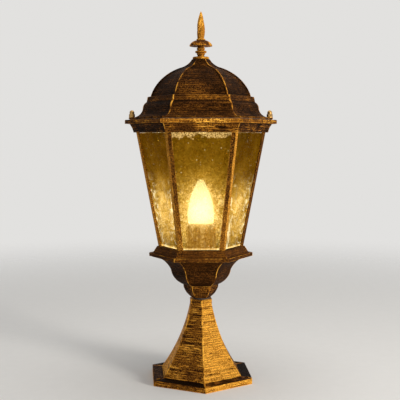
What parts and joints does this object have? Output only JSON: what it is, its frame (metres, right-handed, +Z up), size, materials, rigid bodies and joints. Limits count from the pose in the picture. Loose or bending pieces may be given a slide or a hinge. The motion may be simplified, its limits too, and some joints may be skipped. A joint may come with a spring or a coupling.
{
  "type": "outdoor post light",
  "caption": "Six-sided cast pier lantern with amber glass panes, domed lift-off roof with flame finial, screw lamp inside and a flared hollow foot for bolting down.",
  "frame": {"origin": "middle of the plinth's underside, on the lantern's upright axis", "axes": "+Z up along the lantern's axis, -Y towards the front pane, +X to the right"},
  "size_m": [0.202, 0.175, 0.4899],
  "materials": {
    "antique_casting": "black-brown paint dry-brushed with antique gold",
    "amber_glass": "amber cathedral glass, rippled on one side",
    "antique_brass": "aged brass",
    "zinc_steel": "zinc plated",
    "contact_brass": "bright",
    "black_rubber": "matt",
    "black_phenolic": "moulded",
    "white_insulator": "glazed",
    "black_insulator": "glassy",
    "opal_glass": "opal, lit",
    "terminal_plastic": "moulded",
    "brown_sheath": "soft",
    "blue_sheath": "soft",
    "green_sheath": "soft"
  },
  "bodies": {
    "pedestal": {"pedestal": "antique_casting", "neck_seal": "black_rubber"},
    "head": {"neck_collar": "antique_casting", "pan": "antique_casting", "cage_ring": "antique_casting", "threaded_tube": "zinc_steel", "lower_lock_nut": "zinc_steel", "upper_lock_nut": "zinc_steel", "lower_washer": "zinc_steel", "upper_washer": "zinc_steel", "earth_tag": "contact_brass", "roof_studs": "zinc_steel", "clip_screws": "zinc_steel", "pane_clips": "zinc_steel", "roof_gasket": "black_rubber", "holder_cap": "black_phenolic", "holder_shell": "black_phenolic", "holder_insert": "white_insulator", "screw_shell": "contact_brass", "centre_contact": "contact_brass", "terminal_block": "terminal_plastic", "terminal_screws": "zinc_steel", "lead_live": "brown_sheath", "lead_neutral": "blue_sheath", "lead_earth": "green_sheath", "corner_bar_1": "antique_casting", "corner_bar_2": "antique_casting", "corner_bar_3": "antique_casting", "corner_bar_4": "antique_casting", "corner_bar_5": "antique_casting", "corner_bar_6": "antique_casting", "glass_pane_1": "amber_glass", "glass_pane_2": "amber_glass", "glass_pane_3": "amber_glass", "glass_pane_4": "amber_glass", "glass_pane_5": "amber_glass", "glass_pane_6": "amber_glass"},
    "roof": {"roof": "antique_casting", "finial": "antique_casting", "finial_stud": "zinc_steel", "finial_nut": "zinc_steel", "finial_washer": "zinc_steel"},
    "washer_left": {"captive_washer_left": "antique_brass"},
    "nut_left": {"acorn_nut_left": "antique_brass"},
    "washer_right": {"captive_washer_right": "antique_brass"},
    "nut_right": {"acorn_nut_right": "antique_brass"},
    "lamp": {"lamp_envelope": "opal_glass", "lamp_cap": "contact_brass", "lamp_insulator": "black_insulator", "lamp_contact": "contact_brass"}
  },
  "joints": [
    {"name": "head_swivel", "type": "hinge", "parent": "pedestal", "child": "head", "pos_m": [0, 0, 0.1083], "axis": [0, 0, 1], "range_deg": [-180, 180]},
    {"name": "roof_lift", "type": "slide", "parent": "head", "child": "roof", "axis": [0, 0, 1], "range_m": [0, 0.16]},
    {"name": "lamp_lift", "type": "slide", "parent": "head", "child": "lamp", "axis": [0, 0, 1], "range_m": [0, 0.06]},
    {"name": "washer_left_rise", "type": "slide", "parent": "roof", "child": "washer_left", "axis": [0, 0, 1], "range_m": [0, 0.008]},
    {"name": "nut_left_turn", "type": "hinge", "parent": "washer_left", "child": "nut_left", "pos_m": [-0.0915, 0, 0.3522], "axis": [0, 0, 1], "range_deg": [0, 4115]},
    {"name": "washer_right_rise", "type": "slide", "parent": "roof", "child": "washer_right", "axis": [0, 0, 1], "range_m": [0, 0.008]},
    {"name": "nut_right_turn", "type": "hinge", "parent": "washer_right", "child": "nut_right", "pos_m": [0.0915, 0, 0.3522], "axis": [0, 0, 1], "range_deg": [0, 4115]}
  ],
  "couplings": [
    {"joint": "nut_left_turn", "follows": "washer_left_rise", "rad_per_m": 8976},
    {"joint": "nut_right_turn", "follows": "washer_right_rise", "rad_per_m": 8976}
  ]
}
